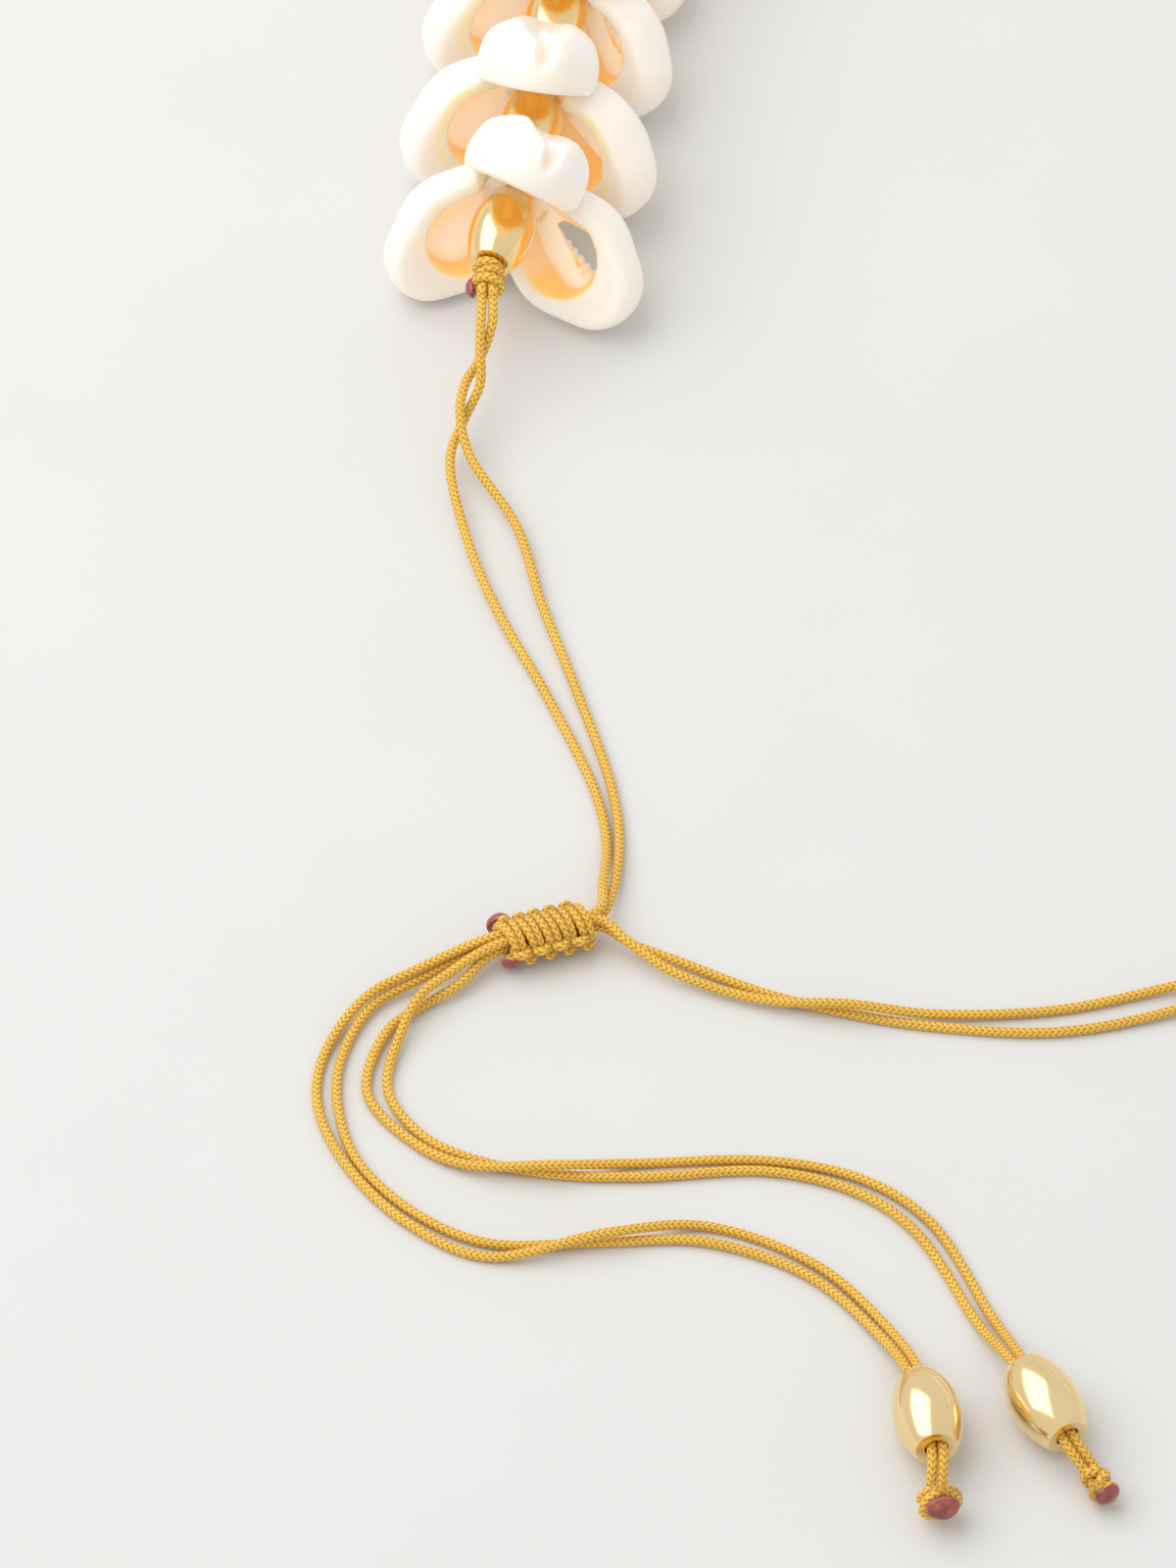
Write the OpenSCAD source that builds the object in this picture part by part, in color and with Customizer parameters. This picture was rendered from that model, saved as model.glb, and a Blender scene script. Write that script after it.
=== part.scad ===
// Shell necklace lying on a table, seen from the fastening at its back.
// The origin is on the table in the middle of the neck opening, +Z is up, and -Y is the
// side of the fastening: the strand's two ends, the sliding knot and the two loose tails.

/* [Shells] */
// Number of layers of shells on the strand
layer_count = 23; // [20:1:23]
// Shells in one layer, evenly round the strand
shells_per_layer = 3; // [3:1:3]
// Largest width of a sliced shell
shell_width = 13.4; // [12:0.2:13.6]
// Depth of a sliced shell, from its cut rim to its flat base
shell_depth = 7.4; // [7:0.2:7.8]
// Radius of the narrow end that the thread passes through
shell_root_r = 4; // [3.6:0.1:4.2]
// Radius of the wide end that stands away from the strand
shell_lip_r = 5; // [4.4:0.1:5.4]
// Length of a sliced shell
shell_length = 21; // [19.5:0.25:21.5]
// Thickness of a shell's side walls
shell_wall = 2; // [1.8:0.1:2.5]
// Width of the mouth slit along a shell's base
slit_width = 1.8; // [1.2:0.1:2]

/* [Gold beads] */
// Length of a barrel bead
bead_length = 9.4; // [8.6:0.2:9.4]
// Diameter of a barrel bead at its middle
bead_d = 6.8; // [6.2:0.2:7]
// Diameter of a barrel bead's flat end faces
bead_face_d = 4.3; // [3.8:0.1:4.6]
// Hole through a barrel bead
bead_hole_d = 2.3; // [2.3:0.1:2.6]

/* [Cords and knots] */
// Diameter of the braided cord
cord_d = 1; // [1:0.05:1]
// Diameter of the thread that carries the shells
thread_d = 1.6; // [1.2:0.1:1.7]
// Hole drilled through a shell's narrow end
shell_hole_d = 2.1; // [2:0.05:2.2]
// Length of the sliding knot
slider_length = 10; // [9:0.5:10.5]
// Number of turns that show on the sliding knot
slider_turns = 6; // [5:1:6]

/* [Hidden] */
$fn = 40;

// Colours as the photo shows them
shell_color = [0.98, 0.91, 0.82];
gold_color = [0.93, 0.79, 0.47];
cord_color = [0.90, 0.67, 0.24];
melt_color = [0.58, 0.22, 0.18];

// Small clearances between neighbouring pieces
piece_gap = 0.15;
core_gap = 1.2;

// One step along the strand: a bead, then three shells one behind the other
tab_t = 1.6;
tab_gap = 0.3;
tab_pitch = tab_t + tab_gap;
bead_gap = 0.45;
layer_pitch = bead_length + shells_per_layer * tab_pitch - tab_gap + 2 * bead_gap;
end_bead_step = bead_length + bead_gap / 2;
strand_z = 9.9;

// The strand's way round: a lead, a bend, a straight, a bend and a short end
lead_length = 47;
bend_r = 60;
first_turn = 155.6;
middle_length = 63.4;
second_turn = 90.9;
strand_start = [-74.3, 3.795];
// the first bead, then the strand's own heading, and the way its cords leave
end_bead_heading = 75;
start_heading = 80.5;
knot_heading = 88;

first_arc = bend_r * first_turn * PI / 180;
second_arc = bend_r * second_turn * PI / 180;
strand_length = layer_count * layer_pitch + bead_length;

// A place is [x, y, heading]
function go_straight(p, d) = [p[0] + d * cos(p[2]), p[1] + d * sin(p[2]), p[2]];
function go_round(p, d) =
    let (h = p[2] - d / bend_r * 180 / PI)
    [p[0] + bend_r * (sin(p[2]) - sin(h)), p[1] - bend_r * (cos(p[2]) - cos(h)), h];

end_bead_start = [strand_start[0], strand_start[1], end_bead_heading];
end_bead_stop = go_straight(end_bead_start, end_bead_step);
lead_start = [end_bead_stop[0], end_bead_stop[1], start_heading];
lead_end = go_straight(lead_start, lead_length - end_bead_step);
first_end = go_round(lead_end, first_arc);
middle_end = go_straight(first_end, middle_length);
second_end = go_round(middle_end, second_arc);

mark_1 = lead_length;
mark_2 = mark_1 + first_arc;
mark_3 = mark_2 + middle_length;
mark_4 = mark_3 + second_arc;

function strand_place(s) =
    s < end_bead_step ? go_straight(end_bead_start, s)
    : s < mark_1 ? go_straight(lead_start, s - end_bead_step)
    : s < mark_2 ? go_round(lead_end, s - mark_1)
    : s < mark_3 ? go_straight(first_end, s - mark_2)
    : s < mark_4 ? go_round(middle_end, s - mark_3)
    : go_straight(second_end, s - mark_4);

// How the shells of a layer hang, right one first, then left and top, repeated along the strand
// columns: azimuth about the strand, 0 on the right and 90 on top as seen from end A, flare
// of the long axis away from the strand's square plane, swing in the rim's plane, roll about
// the long axis, size
layer_looks = [
    [[-32, 31.5, 5, -14, 0.99], [211, 36, 1, 4, 0.95], [79, 41, -3, -11, 0.97]],
    [[-26, 37, 2, 4, 0.96], [207, 36, -2, 0, 0.98], [88, 46, 0, -1, 0.95]],
    [[-30, 39, 0, 0, 0.95], [205, 33, 0, -3, 0.99], [88, 38, 0, 0, 0.96]],
    [[-32, 38, 0, -4, 0.96], [210, 37, 0, 3, 0.95], [92, 37, 0, -3, 0.97]],
    [[-28, 35, 0, 2, 0.98], [212, 38, 0, -2, 0.95], [91, 39, 0, 4, 0.94]]
];
left_layers = ceil(layer_count / 2);

// A shell's outline as balls on its long axis, [x, radius], measured from its middle
shell_bulge_x = 1;
root_x = shell_bulge_x + 3 - shell_length / 2 - 0.4 + shell_root_r - 4;
lip_x = root_x - shell_root_r + shell_length - shell_lip_r;
outer_balls = [[root_x, shell_root_r], [shell_bulge_x, shell_width / 2], [lip_x, shell_lip_r]];
hollow_balls = [[-4.8, shell_root_r - 1.1], [0.7, shell_width / 2 - shell_wall]];
// height of the outer and hollow balls' axis below the cut rim
outer_axis_drop = 2.2;
hollow_axis_drop = 1;
// the thread hole, along the long axis and below the cut rim
hole_x = root_x - 1;
hole_drop = 2.7;
slit_y = -1.2;
slit_turn = -2;
slit_drop = 5;
core_r = bead_d / 2 + core_gap;

// The routes of the two cord pairs lie on the table, from the strand's ends through the
// sliding knot, along the loose tails, through the tail beads and into the end knots.
// route columns: x, y, z of the pair's middle, half the gap between its two cords, and the
// turn of the first cord about that middle, 0 on the right of the way and 90 on top
neck_a = [
    [-74.6, -3.3, 8.9, 0.64, 25],
    [-75.3, -6, 6.8, 0.8, 90],
    [-76, -8.8, 5.4, 0.78, 170],
    [-77.2, -12.2, 3.9, 0.85, 260],
    [-77.4, -16.5, 2.6, 1, 350],
    [-74, -26, 1.3, 2.7, 360],
    [-71, -36, 0.8, 2.3, 360],
    [-67, -46.5, 0.6, 1.6, 360],
    [-62.5, -60, 0.55, 0.9, 360],
    [-61.5, -67, 0.8, 0.65, 360],
    [-62, -74, 1.8, 0.68, 400]
];
tail_a = [
    [-80.5, -85, 1.6, 0.55, 420],
    [-86, -88.5, 1.1, 0.55, 395],
    [-89.5, -95, 0.55, 0.9, 360],
    [-90, -101, 0.55, 1, 360],
    [-87.5, -108.5, 0.55, 0.6, 360],
    [-81.5, -115.5, 0.55, 0.7, 360],
    [-74, -119.5, 0.55, 0.85, 360],
    [-62, -118.5, 1.3, 0.75, 450],
    [-52.5, -117.5, 0.55, 0.95, 540],
    [-42, -122, 0.55, 0.75, 540],
    [-35, -130, 1, 0.6, 540]
];
neck_b = [
    [15.8, -81.6, 9, 0.62, 0],
    [10.5, -83.3, 5.4, 0.7, 0],
    [3.5, -85.3, 2.2, 1, 0],
    [-6, -88, 0.8, 1.5, 0],
    [-17, -90.5, 0.55, 1.4, 0],
    [-29.5, -90.5, 0.7, 0.65, 20],
    [-38, -89.5, 1.3, 0.75, 90],
    [-46.5, -87.5, 0.8, 0.65, 160],
    [-55, -84, 1.1, 0.95, 165],
    [-60, -81.4, 2, 0.68, 120]
];
tail_b = [
    [-77.4, -86, 1.8, 0.75, 40],
    [-80.9, -88.8, 1.45, 0.85, 90],
    [-83.4, -92.2, 1, 0.8, 160],
    [-85, -99.5, 0.55, 1.05, 180],
    [-81, -105.5, 0.55, 0.6, 180],
    [-76, -108.5, 0.7, 0.65, 200],
    [-67.5, -110, 1.3, 0.75, 270],
    [-59, -109.5, 0.55, 0.85, 360],
    [-46, -109, 0.55, 0.65, 360],
    [-37, -111.5, 0.55, 0.85, 360],
    [-31, -116.5, 0.55, 0.95, 360],
    [-25, -128.5, 0.8, 0.8, 360]
];

// Sliding knot: its middle, its heading along the way of the cords and its wraps
slider_middle = [-68.3, -80.6, 2.5];
slider_heading = 197.5;
core_step = 0.56;
slider_bore_r = 1.4;
slider_groove_r = 2;
wrap_rise = 0.48;
side_rise = 0.45;

// Tail beads: middle, heading and the upward tilt of the far end
tail_bead_place = [[-31, -142, 3.42, -80, 7], [-19.5, -140.5, 3.42, -63.5, 0]];
// Tail knots: middle and heading
tail_knot_place = [[-29.9, -151.9, 2.4, -80], [-14.4, -149.3, 1.95, -63.5]];
knot_core_r = 1.45;
knot_ring_r = [1.75, 1.3];
knot_tube_r = 0.62;

strand_knot_length = 3.4;
strand_knot_r = 1.15;

// Points from the start of a knot or bead, headed and tilted
function ahead(p, heading, tilt, d) =
    [p[0] + d * cos(tilt) * cos(heading), p[1] + d * cos(tilt) * sin(heading), p[2] + d * sin(tilt)];

function strand_end_row(p, heading) =
    [p[0] + (strand_knot_length + 3 * piece_gap) * cos(heading),
     p[1] + (strand_knot_length + 3 * piece_gap) * sin(heading), strand_z, 0.56, 0];

strand_stop = strand_place(strand_length);
// the first knot is turned against its bead, so it starts a little further out
knot_start = go_straight(end_bead_start, -0.4);
start_row = strand_end_row(knot_start, knot_heading + 180);
stop_row = strand_end_row(strand_stop, strand_stop[2]);

// The pair's rows inside the sliding knot, side is 1 for the pair away from the tails
function slider_row(d, side) =
    let (p = ahead(slider_middle, slider_heading, 0, d),
         out = slider_heading - 90)
    [p[0] + side * core_step * cos(out), p[1] + side * core_step * sin(out), p[2], core_step];
function slider_rows(side, turn) = [
    for (d = [-slider_length / 2 - 0.6, slider_length / 2 + 0.6])
        concat(slider_row(d, side), [turn])
];

function bead_rows(i, turn) =
    let (b = tail_bead_place[i], k = tail_knot_place[i],
         stop = ahead([k[0], k[1], k[2]], k[3], 0, -knot_core_r - knot_tube_r))
    concat(
        [for (d = [-bead_length / 2 - 0.4, bead_length / 2 + 0.4])
            concat(ahead([b[0], b[1], b[2]], b[3], b[4], d), [0.54, turn])],
        [[stop[0], stop[1], stop[2], 0.54, turn]]
    );

route_a = concat([start_row], neck_a, slider_rows(1, 450), tail_a, bead_rows(0, 540));
route_b = concat([stop_row], neck_b, slider_rows(-1, 90), tail_b, bead_rows(1, 360));

// The way of a route at one of its rows, and one cord's centre there
function flat_way(route, i) =
    let (a = route[max(i - 1, 0)], b = route[min(i + 1, len(route) - 1)])
    atan2(b[1] - a[1], b[0] - a[0]);
function cord_point(route, i, side) =
    let (row = route[i], way = flat_way(route, i), reach = side * row[3])
    [row[0] + reach * cos(row[4]) * cos(way - 90),
     row[1] + reach * cos(row[4]) * sin(way - 90),
     row[2] + reach * sin(row[4])];
function cord_points(route, side) = [for (i = [0 : len(route) - 1]) cord_point(route, i, side)];

// Vectors for the sweep
function unit(v) = v / norm(v);
function tangent(points, i) =
    unit(points[min(i + 1, len(points) - 1)] - points[max(i - 1, 0)]);
cord_sides = 8;
function ring_points(points, i, r) =
    let (t = tangent(points, i), u = unit(cross([0, 0, 1], t)), w = cross(t, u))
    [for (k = [0 : cord_sides - 1])
        let (a = (k + 0.5) * 360 / cord_sides)
        points[i] + r * (cos(a) * u + sin(a) * w)];

// A tube swept along points, closed at both ends
module sweep(points, r) {
    n = len(points);
    rings = [for (i = [0 : n - 1]) each ring_points(points, i, r)];
    sides = [for (i = [0 : n - 2]) for (k = [0 : cord_sides - 1])
        let (a = i * cord_sides + k, b = i * cord_sides + (k + 1) % cord_sides)
        [b, a, a + cord_sides, b + cord_sides]];
    first_cap = [[for (k = [0 : cord_sides - 1]) k]];
    last_cap = [[for (k = [cord_sides - 1 : -1 : 0]) (n - 1) * cord_sides + k]];
    polyhedron(points = rings, faces = concat(sides, first_cap, last_cap), convexity = 6);
}

// Put children on the strand at s, +X along it and away from its start
module on_strand(s) {
    p = strand_place(s);
    translate([p[0], p[1], strand_z]) rotate([0, 0, p[2]]) children();
}

// Solid of revolution about X through balls given as [x, radius], with cones between them
// that meet the balls at a slight angle, so that their edges are clean
cone_inset = 0.04;
module ball_row(balls) {
    rotate([0, 90, 0]) rotate_extrude() intersection() {
        translate([0, -30]) square([30, 60]);
        union() {
            for (p = balls) translate([0, p[0]]) circle(r = p[1]);
            for (i = [0 : len(balls) - 2]) {
                p = balls[i];
                q = balls[i + 1];
                lean = asin((q[1] - p[1]) / (q[0] - p[0]));
                r = p[1] - cone_inset;
                t = q[1] - cone_inset;
                polygon([
                    [0, p[0]],
                    [r * cos(lean), p[0] - r * sin(lean)],
                    [t * cos(lean), q[0] - t * sin(lean)],
                    [0, q[0]]
                ]);
            }
        }
    }
}

// A sliced cowrie about its thread hole, long axis +X, cut rim facing +Z: a rounded cup
// between its cut rim and flat base, with the mouth slit running out through the wide end
module sliced_shell(size) {
    scale(size) translate([-hole_x, 0, hole_drop]) difference() {
        intersection() {
            translate([0, 0, -outer_axis_drop]) ball_row(outer_balls);
            translate([-15, -15, -shell_depth]) cube([30, 30, shell_depth]);
        }
        translate([0, 0, -hollow_axis_drop]) ball_row(hollow_balls);
        translate([-5, slit_y, -9]) rotate([0, 0, slit_turn]) cube([20, slit_width, 9 - slit_drop]);
    }
}

// One shell in its place on the strand: it keeps clear of the bead and of its neighbours'
// roots by all but a thin tab that the thread passes through
module strung_shell(looks) {
    far = 20;
    rotate([90 - looks[0], 0, 0]) difference() {
        rotate([0, -90 - looks[1], 0]) rotate([0, 0, looks[2]]) rotate([looks[3], 0, 0])
            sliced_shell(looks[4]);
        translate([tab_t / 2, -far / 2, core_r - far]) cube(far);
        translate([-tab_t / 2 - far, -far / 2, core_r - far]) cube(far);
        rotate([0, 90, 0]) cylinder(h = 4, d = shell_hole_d, center = true);
    }
}

module shell_layers(first, last) {
    color(shell_color)
    for (layer = [first : last], k = [0 : shells_per_layer - 1]) {
        behind = bead_length + bead_gap + tab_t / 2 + k * tab_pitch;
        on_strand(layer * layer_pitch + behind)
            strung_shell(layer_looks[layer % len(layer_looks)][k]);
    }
}

// A barrel bead along X: a bulging body between two flat faces, drilled through
module barrel_bead() {
    sag = (bead_d - bead_face_d) / 2;
    barrel_r = (bead_length * bead_length / 4 + sag * sag) / (2 * sag);
    rotate([0, 90, 0]) rotate_extrude() difference() {
        intersection() {
            translate([bead_d / 2 - barrel_r, 0]) circle(r = barrel_r, $fn = 120);
            translate([0, -bead_length / 2]) square([bead_d, bead_length]);
        }
        translate([-1, -bead_length]) square([1 + bead_hole_d / 2, 2 * bead_length]);
    }
}

module spacer_beads() {
    color(gold_color)
    for (i = [0 : layer_count])
        on_strand(i * layer_pitch + bead_length / 2) barrel_bead();
}

// The thread inside the beads and shells, with more rings along the bends
function steps(from, to, count) = [for (i = [0 : count - 1]) from + (to - from) * i / count];
thread_marks = concat(
    [0, end_bead_step], steps(mark_1, mark_2, 27), [mark_2], steps(mark_3, mark_4, 20), [mark_4, strand_length]
);

module stringing_thread() {
    color(cord_color) sweep(
        [for (s = thread_marks) let (p = strand_place(s)) [p[0], p[1], strand_z]],
        thread_d / 2
    );
}

// Coils of cord round the thread's end, along +X
module strand_knot() {
    coils = 3;
    step = strand_knot_length / coils;
    rotate([0, 90, 0]) {
        cylinder(h = strand_knot_length, r = strand_knot_r);
        for (i = [0 : coils - 1]) translate([0, 0, (i + 0.5) * step])
            rotate_extrude() translate([strand_knot_r, 0]) circle(r = step / 2);
    }
}
module at_strand_start() {
    translate([knot_start[0], knot_start[1], strand_z]) rotate([0, 0, knot_heading + 180])
        translate([piece_gap, 0, 0]) children();
}
module at_strand_stop() {
    translate([strand_stop[0], strand_stop[1], strand_z]) rotate([0, 0, strand_stop[2]])
        translate([piece_gap, 0, 0]) children();
}

// A melted cord end: a small lens standing off a knot, along +Z
module melted_tip(r, h) {
    lens_r = (r * r + h * h) / (2 * h);
    rotate_extrude() intersection() {
        translate([0, h - lens_r]) circle(r = lens_r);
        square([r, h]);
    }
}

strand_knot_outer = strand_knot_r + strand_knot_length / 6;
module strand_tip(side) {
    translate([strand_knot_length * 0.78, 0, 0]) rotate([side * 100, 0, 0])
        translate([0, 0, strand_knot_outer + 0.1]) melted_tip(1.05, 0.8);
}

// The sliding knot's radius: a ridge for each wrap of cord, higher at the two sides, where
// the wraps turn back, with x along the knot and a round it from its side
function slider_reach(x, a) =
    let (wrap = (1 - cos((x / slider_length + 0.5) * slider_turns * 360)) / 2)
    slider_groove_r + wrap * (wrap_rise + side_rise * pow(abs(cos(a)), 4));

// One closed wall between the wraps and the bore, along +X
module sliding_knot() {
    sides = 24;
    xs = [for (i = [0 : slider_turns * 5]) (i / (slider_turns * 5) - 0.5) * slider_length];
    n = len(xs);
    angles = [for (k = [0 : sides - 1]) k * 360 / sides];
    outer = [for (x = xs) for (a = angles) slider_reach(x, a) * [0, cos(a), sin(a)] + [x, 0, 0]];
    inner = [for (x = [xs[0], xs[n - 1]]) for (a = angles)
        slider_bore_r * [0, cos(a), sin(a)] + [x, 0, 0]];
    bore = n * sides;
    faces = [for (k = [0 : sides - 1]) let (m = (k + 1) % sides) each concat(
        [for (i = [0 : n - 2])
            [i * sides + k, (i + 1) * sides + k, (i + 1) * sides + m, i * sides + m]],
        [[bore + k, bore + m, bore + sides + m, bore + sides + k],
         [k, m, bore + m, bore + k],
         [(n - 1) * sides + k, bore + sides + k, bore + sides + m, (n - 1) * sides + m]]
    )];
    color(cord_color) translate(slider_middle) rotate([0, 0, slider_heading])
        polyhedron(points = concat(outer, inner), faces = faces, convexity = 6);
}

// The melted ends of the sliding knot's own cord, beside its tail end
module at_slider_side(side, tilt) {
    translate(slider_middle) rotate([0, 0, slider_heading]) translate([slider_length * 0.45, 0, 0])
        rotate([side * (90 - tilt), 0, 0]) children();
}
slider_outer = slider_groove_r + wrap_rise + side_rise + 0.08;

module tail_bead(i) {
    b = tail_bead_place[i];
    color(gold_color) translate([b[0], b[1], b[2]]) rotate([0, -b[4], b[3]]) barrel_bead();
}

// An overhand knot: one slanting turn of cord round a rounded core, along +X
module tail_knot(i, slant) {
    k = tail_knot_place[i];
    color(cord_color) translate([k[0], k[1], k[2]]) rotate([0, 0, k[3]]) difference() {
        union() {
            sphere(r = knot_core_r);
            for (a = [-slant, slant]) rotate([0, 90 + a * 0.4, a])
                rotate_extrude() translate([knot_ring_r[i], 0]) circle(r = knot_tube_r);
        }
        translate([-4 - knot_core_r, -4, -4]) cube([4, 8, 8]);
    }
}
module tail_tip(i, tilt, r, h, rise) {
    k = tail_knot_place[i];
    color(melt_color) translate([k[0], k[1], k[2]]) rotate([0, 90 - tilt, k[3]])
        translate([0, 0, knot_core_r + rise]) melted_tip(r, h);
}

module cord(route, side) {
    color(cord_color) sweep(cord_points(route, side), cord_d / 2);
}

shell_layers(0, left_layers - 1);  // shells_left
shell_layers(left_layers, layer_count - 1);  // shells_right
spacer_beads();
stringing_thread();
color(cord_color) at_strand_start() strand_knot();  // strand_knot_a
color(cord_color) at_strand_stop() strand_knot();  // strand_knot_b
color(melt_color) at_strand_start() strand_tip(1);  // strand_tip_a
color(melt_color) at_strand_stop() strand_tip(-1);  // strand_tip_b
cord(route_a, 1);  // cord_a_outer
cord(route_a, -1);  // cord_a_inner
cord(route_b, 1);  // cord_b_outer
cord(route_b, -1);  // cord_b_inner
sliding_knot();
color(melt_color) at_slider_side(1, -5)  // slider_tip_upper
        translate([0, 0, slider_outer]) melted_tip(0.9, 0.8);
color(melt_color) at_slider_side(-1, -35)  // slider_tip_lower
        translate([0, 0, slider_outer - 0.2]) melted_tip(0.75, 0.6);
tail_bead(0);  // tail_bead_a
tail_bead(1);  // tail_bead_b
tail_knot(0, 18);  // tail_knot_a
tail_knot(1, 30);  // tail_knot_b
tail_tip(0, 20, 1.5, 0.6, 0.24);  // tail_tip_a
tail_tip(1, -8, 1.3, 0.6, 0.2);  // tail_tip_b
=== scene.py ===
import math

import bpy
import numpy as np
from mathutils import Matrix, Vector
from mathutils.bvhtree import BVHTree


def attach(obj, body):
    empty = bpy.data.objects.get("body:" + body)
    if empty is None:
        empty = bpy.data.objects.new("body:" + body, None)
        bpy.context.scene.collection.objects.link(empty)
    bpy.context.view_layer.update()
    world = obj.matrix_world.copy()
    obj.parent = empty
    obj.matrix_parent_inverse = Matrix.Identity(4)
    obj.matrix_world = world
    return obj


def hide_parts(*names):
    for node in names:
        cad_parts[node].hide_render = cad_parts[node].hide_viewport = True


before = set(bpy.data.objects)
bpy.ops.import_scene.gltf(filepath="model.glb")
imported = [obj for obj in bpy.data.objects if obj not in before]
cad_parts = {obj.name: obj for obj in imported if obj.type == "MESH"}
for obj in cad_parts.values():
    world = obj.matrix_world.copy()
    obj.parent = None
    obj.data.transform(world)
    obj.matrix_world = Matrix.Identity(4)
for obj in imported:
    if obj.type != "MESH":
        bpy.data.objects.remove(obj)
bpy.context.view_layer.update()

MM = 0.001


# Camera, at the photo's angle
camera_data = bpy.data.cameras.new("camera")
camera_data.sensor_fit = "VERTICAL"
camera_data.sensor_height = 36
camera_data.lens = 270
camera_data.clip_start = 0.05
camera = bpy.data.objects.new("camera", camera_data)
camera.location = (-0.064, -0.83035, 0.91925)
camera.rotation_euler = (math.radians(40), 0, 0)
bpy.context.collection.objects.link(camera)
bpy.context.scene.camera = camera


# Cord routes, in millimetres
# columns: x, y, z of the pair's middle, half the gap between its two cords, turn about it
strand_z = 9.9
end_bead_place = (-74.3, 3.795, 75)
strand_heading = 80.5
knot_heading = 88
strand_stop = (22.4445, -79.909, -166)
knot_length = 3.4
knot_to_bead = 0.4
knot_gap = 0.56
neck_a = [
    (-74.6, -3.3, 8.9, 0.64, 25), (-75.3, -6, 6.8, 0.8, 90), (-76, -8.8, 5.4, 0.78, 170),
    (-77.2, -12.2, 3.9, 0.85, 260), (-77.4, -16.5, 2.6, 1, 350), (-74, -26, 1.3, 2.7, 360),
    (-71, -36, 0.8, 2.3, 360), (-67, -46.5, 0.6, 1.6, 360), (-62.5, -60, 0.55, 0.9, 360),
    (-61.5, -67, 0.8, 0.65, 360), (-62, -74, 1.8, 0.68, 400),
]
tail_a = [
    (-80.5, -85, 1.6, 0.55, 420), (-86, -88.5, 1.1, 0.55, 395), (-89.5, -95, 0.55, 0.9, 360),
    (-90, -101, 0.55, 1, 360), (-87.5, -108.5, 0.55, 0.6, 360), (-81.5, -115.5, 0.55, 0.7, 360),
    (-74, -119.5, 0.55, 0.85, 360), (-62, -118.5, 1.3, 0.75, 450),
    (-52.5, -117.5, 0.55, 0.95, 540), (-42, -122, 0.55, 0.75, 540), (-35, -130, 1, 0.6, 540),
]
neck_b = [
    (15.8, -81.6, 9, 0.62, 0), (10.5, -83.3, 5.4, 0.7, 0), (3.5, -85.3, 2.2, 1, 0),
    (-6, -88, 0.8, 1.5, 0), (-17, -90.5, 0.55, 1.4, 0), (-29.5, -90.5, 0.7, 0.65, 20),
    (-38, -89.5, 1.3, 0.75, 90), (-46.5, -87.5, 0.8, 0.65, 160), (-55, -84, 1.1, 0.95, 165),
    (-60, -81.4, 2, 0.68, 120),
]
tail_b = [
    (-77.4, -86, 1.8, 0.75, 40), (-80.9, -88.8, 1.45, 0.85, 90), (-83.4, -92.2, 1, 0.8, 160),
    (-85, -99.5, 0.55, 1.05, 180), (-81, -105.5, 0.55, 0.6, 180), (-76, -108.5, 0.7, 0.65, 200),
    (-67.5, -110, 1.3, 0.75, 270), (-59, -109.5, 0.55, 0.85, 360), (-46, -109, 0.55, 0.65, 360),
    (-37, -111.5, 0.55, 0.85, 360), (-31, -116.5, 0.55, 0.95, 360), (-25, -128.5, 0.8, 0.8, 360),
]
slider_middle = (-68.3, -80.6, 2.5)
slider_heading = 197.5
slider_reach = 5.6
tail_beads = [((-31, -142, 3.42), -80, 7), ((-19.5, -140.5, 3.42), -63.5, 0)]
tail_knots = [((-29.9, -151.9, 2.4), -80), ((-14.4, -149.3, 1.95), -63.5)]
tail_gap = 0.54
tail_bead_reach = 5.1
tail_knot_reach = 2.07


def ahead(place, heading, tilt, d):
    h, t = math.radians(heading), math.radians(tilt)
    return (
        place[0] + d * math.cos(t) * math.cos(h),
        place[1] + d * math.cos(t) * math.sin(h),
        place[2] + d * math.sin(t),
    )


def strand_end_row(place, heading):
    end = ahead((place[0], place[1], strand_z), heading, 0, knot_length + 0.45)
    return end + (knot_gap, 0)


def slider_rows(side, turn):
    rows = []
    for d in (-slider_reach, slider_reach):
        place = ahead(slider_middle, slider_heading, 0, d)
        rows.append(ahead(place, slider_heading - 90, 0, side * knot_gap) + (knot_gap, turn))
    return rows


def bead_rows(i, turn):
    place, heading, tilt = tail_beads[i]
    knot, way = tail_knots[i]
    return [
        ahead(place, heading, tilt, -tail_bead_reach) + (tail_gap, turn),
        ahead(place, heading, tilt, tail_bead_reach) + (tail_gap, turn),
        ahead(knot, way, 0, -tail_knot_reach) + (tail_gap, turn),
    ]


def one_cord(route, side):
    points = []
    for i, (x, y, z, gap, turn) in enumerate(route):
        before, after = route[max(i - 1, 0)], route[min(i + 1, len(route) - 1)]
        right = math.atan2(after[1] - before[1], after[0] - before[0]) - math.pi / 2
        a = math.radians(turn)
        points.append((
            x + side * gap * math.cos(a) * math.cos(right),
            y + side * gap * math.cos(a) * math.sin(right),
            z + side * gap * math.sin(a),
        ))
    return points


knot_start = ahead(end_bead_place[:2] + (strand_z,), end_bead_place[2], 0, -knot_to_bead)
start_row = strand_end_row(knot_start, knot_heading + 180)
stop_row = strand_end_row(strand_stop, strand_stop[2])
route_a = [start_row] + neck_a + slider_rows(1, 450) + tail_a + bead_rows(0, 540)
route_b = [stop_row] + neck_b + slider_rows(-1, 90) + tail_b + bead_rows(1, 360)


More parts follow.
